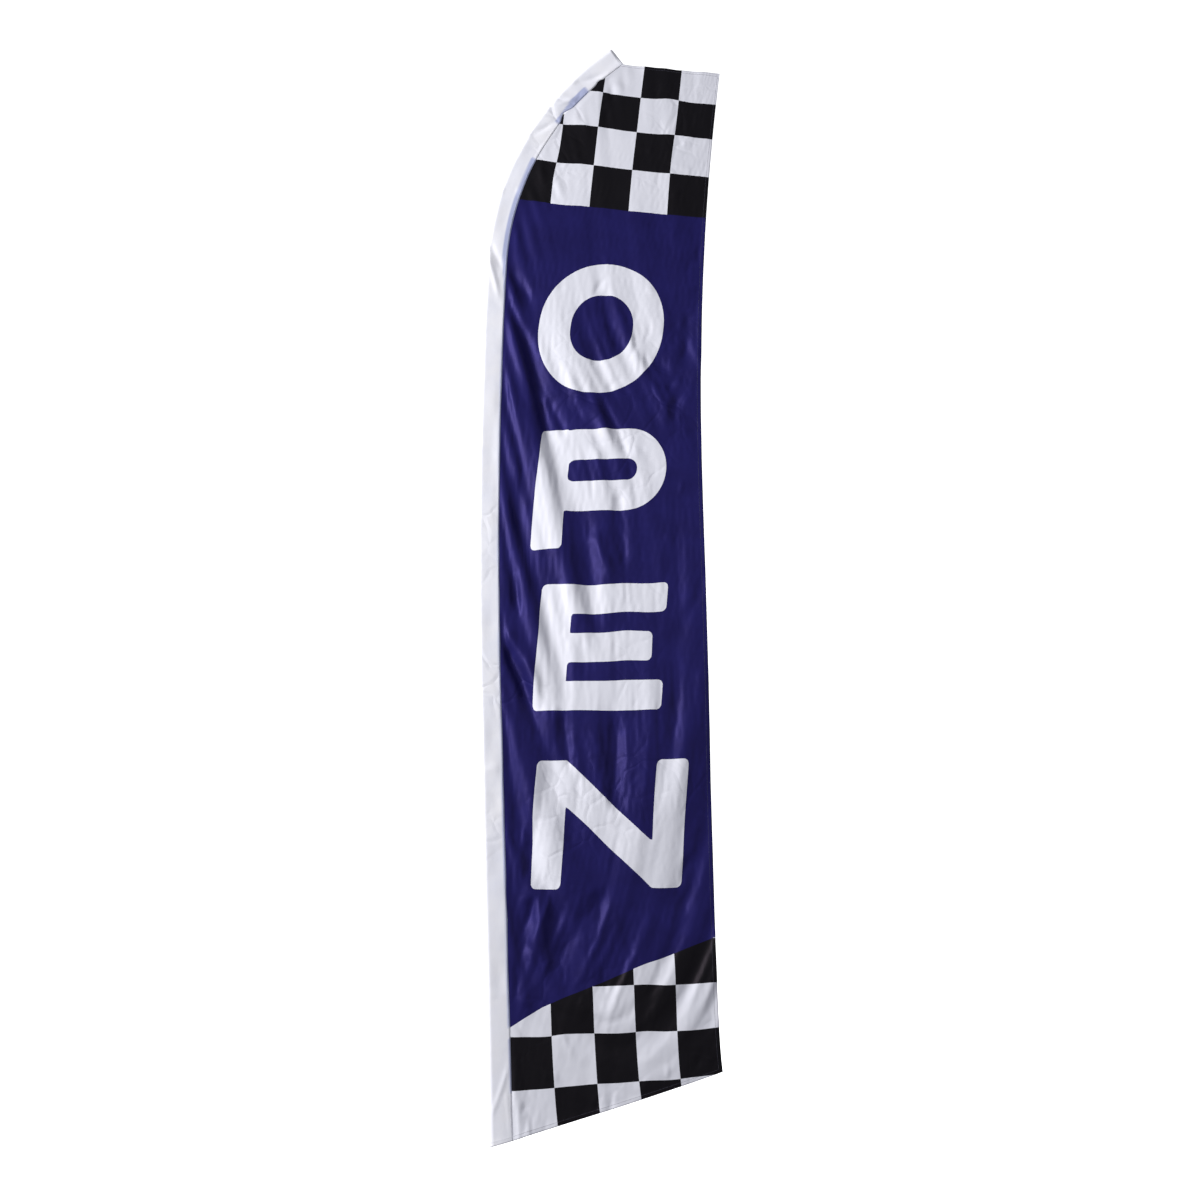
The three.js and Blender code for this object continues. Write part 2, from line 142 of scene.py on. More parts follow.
def add_stage():
    """A pale round floor that sweeps up into a backdrop on every side. It lights nothing itself."""
    floor_z = -0.6
    wall_top = 12.0
    reach = 7.0
    bend = 4.6
    steps = 24
    sides = 96
    profile = [(0.0, floor_z), (reach - bend, floor_z)]
    for i in range(1, steps + 1):
        turn = math.pi / 2 * i / steps
        profile.append((reach - bend + bend * math.sin(turn), floor_z + bend * (1 - math.cos(turn))))
    profile.append((reach, wall_top))
    verts = []
    for i in range(sides):
        angle = 2 * math.pi * i / sides
        verts += [(r * math.cos(angle), r * math.sin(angle), z) for r, z in profile[1:]]
    rings = len(profile) - 1
    faces = [[i * rings for i in range(sides)]]
    for i in range(sides):
        j = (i + 1) % sides
        for k in range(rings - 1):
            faces.append([i * rings + k, i * rings + k + 1, j * rings + k + 1, j * rings + k])
    mesh = bpy.data.meshes.new("studio")
    mesh.from_pydata(verts, [], faces)
    mesh.shade_smooth()
    studio = bpy.data.objects.new("studio", mesh)
    bpy.context.scene.collection.objects.link(studio)
    material = bpy.data.materials.new("studio_white")
    material.use_nodes = True
    shader = material.node_tree.nodes["Principled BSDF"]
    shader.inputs["Base Color"].default_value = (0.92, 0.92, 0.925, 1)
    shader.inputs["Roughness"].default_value = 1.0
    shader.inputs["Specular IOR Level"].default_value = 0.0
    shader.inputs["Emission Color"].default_value = (1, 1, 1, 1)
    shader.inputs["Emission Strength"].default_value = 0.85
    mesh.materials.append(material)
    studio.visible_diffuse = False
    studio.visible_glossy = False


def add_area_light(name, place, aim, size, power, colour=(1, 1, 1)):
    light = bpy.data.lights.new(name, "AREA")
    light.shape = "RECTANGLE"
    light.size, light.size_y = size
    light.energy = power
    light.color = colour
    lamp = bpy.data.objects.new(name, light)
    lamp.location = place
    lamp.rotation_mode = "QUATERNION"
    lamp.rotation_quaternion = (Vector(aim) - Vector(place)).to_track_quat("-Z", "Z")
    bpy.context.scene.collection.objects.link(lamp)


def add_lights():
    middle = (0.35, 0, 1.6)
    add_area_light("key", (-3.7, -2.5, 2.9), middle, (0.5, 2.4), 385)
    add_area_light("fill", (3.6, -3.2, 1.8), middle, (2.5, 3.0), 26, (0.90, 0.92, 1.0))
    add_area_light("back", (2.6, 3.6, 3.2), middle, (2.0, 3.0), 170)
    world = bpy.data.worlds.new("studio_air")
    world.use_nodes = True
    world.node_tree.nodes["Background"].inputs["Color"].default_value = (0.93, 0.94, 1.0, 1)
    world.node_tree.nodes["Background"].inputs["Strength"].default_value = 0.30
    bpy.context.scene.world = world


# ---- Node materials ------------------------------------------------------------------------

class Nodes:
    """Short names for the shader nodes that the materials are made of."""

    def __init__(self, name):
        self.material = bpy.data.materials.new(name)
        self.material.use_nodes = True
        self.tree = self.material.node_tree
        self.shader = self.tree.nodes["Principled BSDF"]

    def _fill(self, socket, value):
        if isinstance(value, bpy.types.NodeSocket):
            self.tree.links.new(value, socket)
        else:
            socket.default_value = value

    def set(self, **values):
        for name, value in values.items():
            self._fill(self.shader.inputs[name.replace("_", " ")], value)

    def math(self, operation, a, b=0.0, c=0.0):
        node = self.tree.nodes.new("ShaderNodeMath")
        node.operation = operation
        for socket, value in zip(node.inputs, (a, b, c)):
            self._fill(socket, value)
        return node.outputs[0]

    def whole_steps(self, value, step):
        return self.math("FLOOR", self.math("DIVIDE", value, step))

    def attribute(self, name):
        node = self.tree.nodes.new("ShaderNodeAttribute")
        node.attribute_name = name
        return node.outputs["Fac"]

    def place(self):
        return self.tree.nodes.new("ShaderNodeTexCoord").outputs["Object"]

    def uv(self, name):
        node = self.tree.nodes.new("ShaderNodeUVMap")
        node.uv_map = name
        split = self.tree.nodes.new("ShaderNodeSeparateXYZ")
        self.tree.links.new(node.outputs[0], split.inputs[0])
        return node.outputs[0], split.outputs[0], split.outputs[1]

    def noise(self, where, scale, detail=3.0, roughness=0.5):
        node = self.tree.nodes.new("ShaderNodeTexNoise")
        self._fill(node.inputs["Vector"], where)
        node.inputs["Scale"].default_value = scale
        node.inputs["Detail"].default_value = detail
        node.inputs["Roughness"].default_value = roughness
        return node.outputs["Fac"]

    def stretched(self, where, scale):
        node = self.tree.nodes.new("ShaderNodeMapping")
        self._fill(node.inputs["Vector"], where)
        node.inputs["Scale"].default_value = scale
        return node.outputs[0]

    def crumples(self, where):
        """Creases along the edges of uneven cells, 1 away from them and less near them, in
        scattered patches."""
        crease_width = 0.11
        shift = self.tree.nodes.new("ShaderNodeTexNoise")
        self._fill(shift.inputs["Vector"], where)
        shift.inputs["Scale"].default_value = 6
        bend = self.tree.nodes.new("ShaderNodeVectorMath")
        bend.operation = "MULTIPLY_ADD"
        self._fill(bend.inputs[0], shift.outputs["Color"])
        bend.inputs[1].default_value = (0.12, 0.12, 0.12)
        self._fill(bend.inputs[2], where)
        cells = self.tree.nodes.new("ShaderNodeTexVoronoi")
        cells.feature = "DISTANCE_TO_EDGE"
        self._fill(cells.inputs["Vector"], bend.outputs[0])
        cells.inputs["Scale"].default_value = 11
        rise = self.math("MINIMUM", self.math("DIVIDE", cells.outputs[0], crease_width), 1.0)
        patch = self.ramp(self.noise(where, 2.6, 1.0, 0.5), (0.50, 0.0), (0.60, 1.0))
        return self.math("MULTIPLY", rise, patch)

    def wave(self, where, scale, direction, distortion=0.0):
        node = self.tree.nodes.new("ShaderNodeTexWave")
        self._fill(node.inputs["Vector"], where)
        node.bands_direction = direction
        node.inputs["Scale"].default_value = scale
        node.inputs["Distortion"].default_value = distortion
        return node.outputs["Fac"]

    def ramp(self, value, low, high):
        node = self.tree.nodes.new("ShaderNodeMapRange")
        self._fill(node.inputs["Value"], value)
        node.inputs["From Min"].default_value = low[0]
        node.inputs["From Max"].default_value = high[0]
        node.inputs["To Min"].default_value = low[1]
        node.inputs["To Max"].default_value = high[1]
        return node.outputs[0]

    def mix(self, share, a, b):
        node = self.tree.nodes.new("ShaderNodeMix")
        node.data_type = "RGBA"
        self._fill(node.inputs["Factor"], share)
        self._fill(node.inputs[6], a)
        self._fill(node.inputs[7], b)
        return node.outputs[2]

    def bump(self, height, strength, distance, normal=None):
        node = self.tree.nodes.new("ShaderNodeBump")
        self._fill(node.inputs["Height"], height)
        node.inputs["Strength"].default_value = strength
        node.inputs["Distance"].default_value = distance
        if normal is not None:
            self._fill(node.inputs["Normal"], normal)
        return node.outputs[0]


def linear(red, green, blue):
    """A screen colour, 0 to 255 a channel, as the shader's linear colour."""
    channels = []
    for value in (red, green, blue):
        share = value / 255
        channels.append(share / 12.92 if share <= 0.04045 else ((share + 0.055) / 1.055) ** 2.4)
    return (*channels, 1)


def weave(nodes, strength):
    """The fine plain weave of polyester, with the soft pucker of its threads and faint bag creases."""
    threads_scale = 190
    where = nodes.place()
    across = nodes.wave(where, threads_scale, "X", 0.6)
    down = nodes.wave(where, threads_scale, "Z", 0.6)
    threads = nodes.math("ADD", across, down)
    pucker = nodes.noise(where, 55, 3.0, 0.55)
    crumple = nodes.bump(nodes.crumples(where), 0.40, 0.0022)
    soft = nodes.bump(pucker, 0.20, 0.0016, crumple)
    return nodes.bump(threads, strength, 0.0002, soft)


def printed_cloth():
    """Checks at both ends, a blue field between them, and the white word from the panel's own
    distance field. cut is where each point lies on the flat cloth."""
    nodes = Nodes("printed_cloth")
    cut, across, up = nodes.uv("cut")
    column = nodes.whole_steps(nodes.math("SUBTRACT", CUT_WIDTH, across), CHECK)
    column = nodes.math("MINIMUM", column, CHECK_COLUMNS - 1)
    top_row = nodes.whole_steps(nodes.math("SUBTRACT", up, TOP_CHECKS), TOP_CHECK_ROW)
    low_row = nodes.whole_steps(nodes.math("SUBTRACT", up, LOW_CHECKS), LOW_CHECK_ROW)
    is_top = nodes.math("GREATER_THAN", up, TOP_CHECKS)
    row = nodes.math("ADD", nodes.math("MULTIPLY", is_top, top_row),
                     nodes.math("MULTIPLY", nodes.math("SUBTRACT", 1.0, is_top), low_row))
    odd = nodes.math("PINGPONG", nodes.math("ADD", column, row), 1.0)
    diagonal = nodes.math("MULTIPLY_ADD", across, BLUE_EDGE_RISE, BLUE_EDGE)
    diagonal = nodes.math("SUBTRACT", diagonal, nodes.ramp(across, (0.0, BLUE_EDGE_DROP), (0.11, 0.0)))
    above = nodes.math("GREATER_THAN", up, diagonal)
    is_blue = nodes.math("MULTIPLY", above, nodes.math("SUBTRACT", 1.0, is_top))
    letter = nodes.math("LESS_THAN", nodes.attribute("word"), 0.0)
    dye = nodes.noise(cut, 9, 4.0, 0.6)
    patchy = nodes.ramp(dye, (0.3, 0.0), (0.7, 1.0))
    blue = nodes.mix(patchy, linear(26, 24, 75), linear(31, 29, 87))
    black = nodes.mix(dye, linear(13, 13, 15), linear(18, 18, 21))
    white = nodes.mix(dye, linear(201, 202, 211), linear(210, 210, 218))
    checks = nodes.mix(odd, black, white)
    field = nodes.mix(is_blue, checks, blue)
    colour = nodes.mix(letter, field, white)
    bare_blue = nodes.math("MULTIPLY", is_blue, nodes.math("SUBTRACT", 1.0, letter))
    satin = nodes.math("MULTIPLY", bare_blue, 0.20)
    nodes.set(Base_Color=colour, Metallic=satin, Roughness=0.48, Normal=weave(nodes, 0.25))
    nodes.set(Specular_IOR_Level=0.10, Specular_Tint=(1.0, 0.82, 1.0, 1))
    return nodes.material


def sleeve_cloth():
    """White cloth, greyed where the panel's dark seam allowance shows through it."""
    shows_through = 0.72
    nodes = Nodes("sleeve_cloth")
    dye = nodes.noise(nodes.place(), 9, 4.0, 0.6)
    white = nodes.mix(dye, linear(224, 226, 239), linear(243, 241, 242))
    shade = nodes.math("MULTIPLY", nodes.attribute("allowance"), shows_through)
    colour = nodes.mix(shade, white, linear(140, 152, 200))
    nodes.set(Base_Color=colour, Roughness=0.8, Normal=weave(nodes, 0.25))
    nodes.set(Specular_IOR_Level=0.3, Sheen_Weight=0.2, Sheen_Roughness=0.5)
    return nodes.material


def plain_cloth(name, colour, roughness, strength):
    nodes = Nodes(name)
    dye = nodes.noise(nodes.place(), 30, 4.0, 0.6)
    darker = tuple(c * 0.82 for c in colour[:3]) + (1,)
    nodes.set(Base_Color=nodes.mix(dye, darker, colour), Roughness=roughness, Normal=weave(nodes, strength))
    nodes.set(Sheen_Weight=0.2)
    return nodes.material


def moulded_plastic(name, colour):
    nodes = Nodes(name)
    grain = nodes.noise(nodes.place(), 900, 2.0, 0.5)
    scuff = nodes.noise(nodes.place(), 70, 5.0, 0.65)
    lighter = tuple(min(1, c * 1.7 + 0.01) for c in colour[:3]) + (1,)
    nodes.set(Base_Color=nodes.mix(nodes.ramp(scuff, (0.5, 0.0), (0.8, 1.0)), colour, lighter))
    nodes.set(Roughness=nodes.ramp(scuff, (0.3, 0.42), (0.7, 0.6)), Normal=nodes.bump(grain, 0.3, 0.0002))
    return nodes.material


def drawn_metal(name, colour, roughness):
    """Metal with the fine lengthwise scratches of drawn or turned stock."""
    nodes = Nodes(name)
    streaks = nodes.noise(nodes.stretched(nodes.place(), (900, 900, 6)), 1.0, 3.0, 0.6)
    patch = nodes.noise(nodes.place(), 25, 4.0, 0.6)
    dull = tuple(c * 0.8 for c in colour[:3]) + (1,)
    nodes.set(Base_Color=nodes.mix(patch, dull, colour), Metallic=1.0)
    nodes.set(Roughness=nodes.ramp(streaks, (0.2, roughness), (0.8, roughness + 0.16)))
    nodes.set(Normal=nodes.bump(streaks, 0.15, 0.0001))
    return nodes.material


def glass_fibre():
    nodes = Nodes("fibreglass")
    strands = nodes.noise(nodes.stretched(nodes.place(), (700, 700, 9)), 1.0, 4.0, 0.6)
    nodes.set(Base_Color=nodes.mix(strands, linear(214, 209, 190), linear(238, 235, 222)))
    nodes.set(Roughness=nodes.ramp(strands, (0.2, 0.38), (0.8, 0.55)), Coat_Weight=0.2)
    nodes.set(Normal=nodes.bump(strands, 0.2, 0.0001))
    return nodes.material


# ---- The lines of the CAD part -------------------------------------------------------------

def pole_at(s):
    """x, z and lean of the pole's centre line at path lengths s."""
    s = np.asarray(s, float)
    radius = (BOW_END - STRAIGHT_END) / BOW_LEAN
    bow_lean = (np.clip(s, STRAIGHT_END, BOW_END) - STRAIGHT_END) / radius
    lean = bow_lean + np.maximum(s - BOW_END, 0) / HOOK_RADIUS
    hooked = s > BOW_END
    x = radius * (1 - np.cos(bow_lean)) + hooked * HOOK_RADIUS * (math.cos(BOW_LEAN) - np.cos(lean))
    z = np.minimum(s, STRAIGHT_END) + radius * np.sin(bow_lean)
    z = z + hooked * HOOK_RADIUS * (np.sin(lean) - math.sin(BOW_LEAN))
    return x, z, lean


def beside_pole(s, offset, side):
    """Points beside the centre line: offset is towards the fly, side along Y."""
    x, z, lean = pole_at(s)
    points = np.broadcast_arrays(x + offset * np.cos(lean), side, z - offset * np.sin(lean))
    return np.stack(points, axis=-1)


def fly_edge(z):
    bend = np.maximum(0, z - FLY_BEND_START) ** 2 / (2 * FLY_BEND_RADIUS)
    return FLY_OFFSET + FLY_SLOPE * z + bend + FLY_FLARE * np.exp(-(z - FLY_LOW) / FLARE_LENGTH)


def billow(across, z):
    slow = BILLOW * np.sin(2 * math.pi * z / BILLOW_LENGTH + 0.6)
    quick = RIPPLE * np.sin(2 * math.pi * z / RIPPLE_LENGTH + 1.9)
    taut = 1 - TAUTNESS * z / FLY_HIGH
    return across * across * (3 - 2 * across) * taut * (slow + quick)


def smooth(low, high, value):
    t = np.clip((np.asarray(value, float) - low) / (high - low), 0, 1)
    return t * t * (3 - 2 * t)


def lattice_noise(a, b, seed):
    """Smooth noise from -1 to 1 over the plane, one random value to each unit square."""
    values = np.random.default_rng(seed).uniform(-1, 1, (64, 64))
    row, column = np.floor(a).astype(int), np.floor(b).astype(int)
    down, right = a - row, b - column
    down, right = down * down * (3 - 2 * down), right * right * (3 - 2 * right)

    def corner(i, j):
        return values[(row + i) % 64, (column + j) % 64]

    near = corner(0, 0) * (1 - right) + corner(0, 1) * right
    far = corner(1, 0) * (1 - right) + corner(1, 1) * right
    return near * (1 - down) + far * down


# ---- The cut cloth -------------------------------------------------------------------------

def on_cut_cloth(x, z):
    """Where a hanging point of the panel lies on the flat cloth: across from the seam, and up.
    The rows of the print droop towards the fly near the top, and the folds take up some width."""
    at_fly = z.copy()
    for _ in range(12):
        droop = DROOP + DROOP_AT_TIP * smooth(1.9, 2.85, at_fly)
        droop = np.radians(droop - DROOP_LOST_AT_FOOT * np.exp(-(at_fly - 0.16) / 0.15))
        at_fly = z - (fly_edge(at_fly) - x) * np.tan(droop)
    share = WIDTH_SHARE + WIDTH_SHARE_RISE * smooth(0.2, 1.6, at_fly)
    share = share - WIDTH_SHARE_DROP * smooth(2.6, 3.2, at_fly)
    across = CUT_WIDTH - (fly_edge(at_fly) - x) / np.cos(droop) / share
    across = across - HOOK_PULL * smooth(0.22, 0.10, across) * smooth(3.00, 3.15, z)
    across = across + PRINT_DRIFT * lattice_noise(x / 0.11 + 2, z / 0.19, 31)
    at_fly = at_fly + PRINT_DRIFT * lattice_noise(x / 0.075 + 7, z / 0.30, 32)
    above = np.maximum(at_fly - TOP_CHECKS, 0)
    root = np.sqrt(np.maximum(TOP_ROW_HUNG**2 - 4 * TOP_ROW_LOSS * above, 0))
    rows = (TOP_ROW_HUNG - root) / (2 * TOP_ROW_LOSS)
    up = np.where(at_fly > TOP_CHECKS, TOP_CHECKS + TOP_CHECK_ROW * rows, at_fly)
    return across, up


# ---- The word ------------------------------------------------------------------------------

# Sideways lean of the letters for each unit of height, and the radius of their corners.
WORD_SLANT = 0.10
CORNER_R = 0.016


def bar(u, v, start, end, half):
    """Distance to a square-ended stroke with slightly rounded corners."""
    (u0, v0), (u1, v1) = start, end
    length = math.hypot(u1 - u0, v1 - v0)
    du, dv = (u1 - u0) / length, (v1 - v0) / length
    along = np.abs((u - (u0 + u1) / 2) * du + (v - (v0 + v1) / 2) * dv) - length / 2 + CORNER_R
    aside = np.abs((v - (v0 + v1) / 2) * du - (u - (u0 + u1) / 2) * dv) - half + CORNER_R
    outside = np.hypot(np.maximum(along, 0), np.maximum(aside, 0))
    return outside + np.minimum(np.maximum(along, aside), 0) - CORNER_R


def rounded_ring(u, v, centre, half_size, corner, half):
    """Distance to a stroke that follows a rounded rectangle."""
    a = np.abs(u - centre[0]) - half_size[0] + corner
    b = np.abs(v - centre[1]) - half_size[1] + corner
    line = np.hypot(np.maximum(a, 0), np.maximum(b, 0)) + np.minimum(np.maximum(a, b), 0) - corner
    return np.abs(line) - half


def outline_distance(u, v, corners, round_r):
    """Distance to a closed outline that is grown by round_r, which rounds its corners."""
    nearest = np.full(u.shape, 1e9)
    inside = np.zeros(u.shape, bool)
    for (u0, v0), (u1, v1) in zip(corners, corners[1:] + corners[:1]):
        du, dv = u1 - u0, v1 - v0
        t = np.clip(((u - u0) * du + (v - v0) * dv) / (du * du + dv * dv), 0, 1)
        nearest = np.minimum(nearest, np.hypot(u - u0 - t * du, v - v0 - t * dv))
        if v0 != v1:
            crosses = ((v0 > v) != (v1 > v)) & (u < u0 + (v - v0) / (v1 - v0) * du)
            inside = inside ^ crosses
    return np.where(inside, -nearest, nearest) - round_r


# The N's outline without its rounding: up the left stem, down the slash, and round the right one.
N_OUTLINE = [
    (0.114, 0.721), (0.114, 1.072), (0.190, 1.072), (0.502, 0.808), (0.502, 1.072),
    (0.574, 1.072), (0.574, 0.721), (0.498, 0.721), (0.186, 0.985), (0.186, 0.721),
]


def word_distance(u, v):
    """Distance to the nearest stroke of the four stacked capitals, in plain slanted block letters."""
    half = 0.052
    middles = (2.458, 1.941, 1.438, 0.897)
    o_u, p_u, e_u, n_u = (u - WORD_SLANT * (v - middle) for middle in middles)
    o = rounded_ring(o_u, v, (0.338, middles[0]), (0.158, 0.1586), 0.150, half)
    p = np.minimum(
        bar(p_u, v, (0.176, 1.748), (0.176, 2.134), half),
        rounded_ring(p_u, v, (0.338, 2.004), (0.166, 0.082), 0.080, 0.048),
    )
    e = bar(e_u, v, (0.176, 1.240), (0.176, 1.636), half)
    for height, reach in ((1.286, 0.540), (1.438, 0.500), (1.590, 0.540)):
        e = np.minimum(e, bar(e_u, v, (0.124, height), (reach, height), 0.046))
    n = outline_distance(n_u, v, N_OUTLINE, CORNER_R)
    return np.minimum(np.minimum(o, p), np.minimum(e, n))


# ---- Folds ---------------------------------------------------------------------------------

def curve_through(points, count):
    """Evenly sampled Catmull-Rom curve through the points."""
    points = np.array(points, float)
    padded = np.vstack([2 * points[0] - points[1], points, 2 * points[-1] - points[-2]])
    spans = len(points) - 1
    samples = []
    for i in np.linspace(0, spans, count):
        k = min(int(i), spans - 1)
        t = i - k
        a, b, c, d = padded[k:k + 4]
        samples.append(0.5 * (2 * b + (c - a) * t + (2 * a - 5 * b + 4 * c - d) * t * t
                              + (3 * b - 3 * c + d - a) * t**3))
    return np.array(samples)


def fold(x, z, path, width, height):
    """Height of one fold over the hanging cloth. It runs along the path and fades at both ends."""
    line = curve_through(path, 14)
    reach = 3.2 * width
    near = (x > line[:, 0].min() - reach) & (x < line[:, 0].max() + reach)
    near &= (z > line[:, 1].min() - reach) & (z < line[:, 1].max() + reach)
    x_near, z_near = x[near], z[near]
    best = np.full(x_near.shape, 1e9)
    where = np.zeros(x_near.shape)
    for i, ((ax, az), (bx, bz)) in enumerate(zip(line[:-1], line[1:])):
        dx, dz = bx - ax, bz - az
        t = np.clip(((x_near - ax) * dx + (z_near - az) * dz) / (dx * dx + dz * dz), 0, 1)
        gap = np.hypot(x_near - ax - t * dx, z_near - az - t * dz)
        where = np.where(gap < best, (i + t) / (len(line) - 1), where)
        best = np.minimum(gap, best)
    shape = np.exp(-(best / width) ** 1.8)
    risen = np.zeros(x.shape)
    risen[near] = height * shape * smooth(0, 0.2, where) * smooth(0, 0.3, 1 - where)
    return risen


# The main folds, in the hanging cloth's own x and z: each a path, its half width, and its height
# towards the viewer. All are laid wider and deeper by the same two factors.
FOLD_WIDTH = 1.85
FOLD_DEPTH = 1.3
FOLDS = [
    # fans from the hoist where the bow begins
    ([(0.085, 2.72), (0.145, 2.655), (0.205, 2.57)], 0.013, -0.008),
    ([(0.090, 2.66), (0.135, 2.57), (0.170, 2.45)], 0.014, 0.007),
    ([(0.105, 2.60), (0.150, 2.50), (0.195, 2.37), (0.216, 2.21), (0.221, 2.07)], 0.015, -0.010),
    ([(0.100, 2.56), (0.135, 2.45), (0.170, 2.32), (0.185, 2.20)], 0.014, 0.007),
    # ridges and valleys that run down to the right under the O
    ([(0.233, 2.26), (0.260, 2.20), (0.300, 2.12)], 0.015, -0.008),
    ([(0.280, 2.36), (0.335, 2.26), (0.394, 2.17), (0.420, 2.08)], 0.016, 0.007),
    ([(0.309, 2.24), (0.367, 2.15), (0.395, 2.06)], 0.013, -0.006),
    ([(0.387, 2.26), (0.453, 2.13), (0.480, 2.04)], 0.015, -0.006),
    # the stripe that hangs beside the seam, and its kink
    ([(0.108, 2.36), (0.118, 2.20), (0.128, 2.05), (0.112, 1.92)], 0.017, 0.010),
    ([(0.106, 1.96), (0.128, 1.78), (0.112, 1.62), (0.092, 1.54)], 0.012, -0.009),
    ([(0.150, 1.98), (0.156, 1.76), (0.142, 1.58)], 0.015, 0.006),
    ([(0.455, 1.98), (0.453, 1.80), (0.449, 1.66)], 0.012, -0.005),
    ([(0.351, 1.82), (0.390, 1.73), (0.430, 1.64)], 0.014, 0.005),
    # the fold that leaves the seam and turns down beside it
    ([(0.060, 1.52), (0.111, 1.45), (0.160, 1.36), (0.188, 1.25)], 0.013, 0.009),
    ([(0.060, 1.47), (0.105, 1.39), (0.142, 1.29), (0.156, 1.18)], 0.013, -0.010),
    ([(0.188, 1.30), (0.178, 1.13), (0.138, 0.96), (0.088, 0.78), (0.060, 0.64)], 0.015, 0.009),
    ([(0.222, 1.26), (0.208, 1.10), (0.172, 0.95), (0.122, 0.78), (0.088, 0.66)], 0.014, -0.009),
    ([(0.258, 1.26), (0.250, 1.12), (0.246, 0.98)], 0.016, -0.006),
    ([(0.407, 1.25), (0.399, 1.07), (0.385, 0.90)], 0.017, -0.008),
    ([(0.289, 1.08), (0.276, 0.95), (0.233, 0.77)], 0.014, -0.005),
    # drawn down towards the seam's lower end
    ([(0.162, 0.74), (0.107, 0.57), (0.076, 0.43), (0.062, 0.33)], 0.013, -0.011),
    ([(0.205, 0.74), (0.145, 0.58), (0.098, 0.44), (0.070, 0.34)], 0.013, 0.007),
    ([(0.248, 0.72), (0.175, 0.57), (0.120, 0.46), (0.081, 0.39)], 0.014, -0.008),
    ([(0.371, 0.72), (0.300, 0.64), (0.220, 0.54), (0.107, 0.38)], 0.017, -0.009),
    # puckers beside the seam, in the checks under the tip
    ([(0.318, 3.255), (0.360, 3.225), (0.415, 3.165)], 0.008, 0.0025),
    ([(0.300, 3.215), (0.350, 3.165), (0.380, 3.120)], 0.008, -0.0025),
    ([(0.445, 3.350), (0.490, 3.345), (0.550, 3.310)], 0.008, 0.0025),
    ([(0.455, 3.385), (0.475, 3.330), (0.480, 3.270)], 0.009, -0.0025),
    ([(0.200, 3.060), (0.270, 3.010), (0.330, 2.930)], 0.013, 0.0035),
    ([(0.180, 3.010), (0.235, 2.960), (0.290, 2.880)], 0.013, -0.0035),
    # along the fly
    ([(0.690, 2.54), (0.682, 2.44), (0.674, 2.34)], 0.010, -0.004),
    ([(0.639, 2.26), (0.634, 2.16), (0.630, 2.07)], 0.010, -0.005),
    ([(0.621, 1.96), (0.617, 1.60), (0.595, 1.28), (0.587, 1.08)], 0.017, -0.007),
    ([(0.630, 0.82), (0.569, 0.705), (0.601, 0.62)], 0.014, -0.007),
    ([(0.520, 2.39), (0.630, 2.33), (0.722, 2.274)], 0.010, -0.004),
    ([(0.510, 2.335), (0.620, 2.285), (0.717, 2.248)], 0.010, -0.003),
    ([(0.062, 0.885), (0.095, 0.850), (0.128, 0.815)], 0.010, -0.004),
]


def hanging_folds(x, z):
    """The irregular long folds between the main ones. They hang upright, swing to the right under
    the O, and are drawn to the left towards the seam's lower end."""
    swing = 0.126 * np.tanh((z - 2.30) / 0.28)
    draw = 0.130 * np.tanh((z - 0.50) / 0.26) + 0.030 * np.tanh((z - 0.95) / 0.20)
    line = x + swing - draw
    wide = lattice_noise(line / 0.058 + 3, z / 0.55, 21)
    narrow = lattice_noise(line / 0.033 + 9, z / 0.40, 22)
    fine = lattice_noise(line / 0.014 + 5, z / 0.20, 23)
    strength = 0.42 + 0.58 * smooth(2.75, 2.35, z) * smooth(0.22, 0.50, z)
    strength = strength * (1 - 0.30 * smooth(0.42, 0.56, x))
    return strength * (0.0085 * wide + 0.0056 * narrow + 0.0008 * fine)


def creases(x, z):
    """Short sharp creases left from the bag, thickest in the checks and across the O."""
    rng = np.random.default_rng(8)
    total = np.zeros(x.shape)
    for low, high, count in ((0.05, 0.55, 26), (0.6, 2.2, 26), (2.2, 2.75, 26), (2.8, 3.35, 24)):
        for _ in range(count):
            cx, cz = rng.uniform(0.08, 0.78), rng.uniform(low, high)
            turn = rng.uniform(0, math.pi)
            half = rng.uniform(0.015, 0.050)
            bend = rng.uniform(-0.3, 0.3) * half
            along = np.array([math.cos(turn), math.sin(turn)])
            aside = np.array([-along[1], along[0]])
            middle = np.array([cx, cz])
            path = [middle - half * along, middle + bend * aside, middle + half * along]
            height = rng.choice([-1, 1]) * rng.uniform(0.0010, 0.0024)
            total = total + fold(x, z, path, 0.0075, height)
    return total


def hem_puckers(x, z, across):
    """Short upright puckers where the bottom hem's thread draws the cloth in."""
    above_hem = z - SEAM_LOW - (FLY_LOW - SEAM_LOW) * across
    fade = np.exp(-(above_hem / 0.050) ** 2)
    return 0.0016 * fade * lattice_noise(x / 0.017 + 4, z / 0.25, 24)


def panel_folds(x, z, across):
    total = hanging_folds(x, z) + creases(x, z) + hem_puckers(x, z, across)
    for path, width, height in FOLDS:
        total = total + FOLD_DEPTH * fold(x, z, path, FOLD_WIDTH * width, height)
    return total * smooth(0.0, 0.05, across) * (1 - 0.55 * smooth(0.985, 1.0, across))


# ---- Meshes --------------------------------------------------------------------------------

def unit(vectors):
    return vectors / np.maximum(np.linalg.norm(vectors, axis=-1, keepdims=True), 1e-12)


def grid_normals(points):
    """Normals of a grid of points, by its rows and columns."""
    along = np.gradient(points, axis=0)
    across = np.gradient(points, axis=1)
    return unit(np.cross(across, along))


def grid_quads(rows, columns):
    """The vertex numbers of a grid of points, and the squares between them."""
    ids = np.arange(rows * columns).reshape(rows, columns)
    quads = np.stack([ids[:-1, :-1], ids[:-1, 1:], ids[1:, 1:], ids[1:, :-1]], axis=-1)
    return ids, quads.reshape(-1, 4)


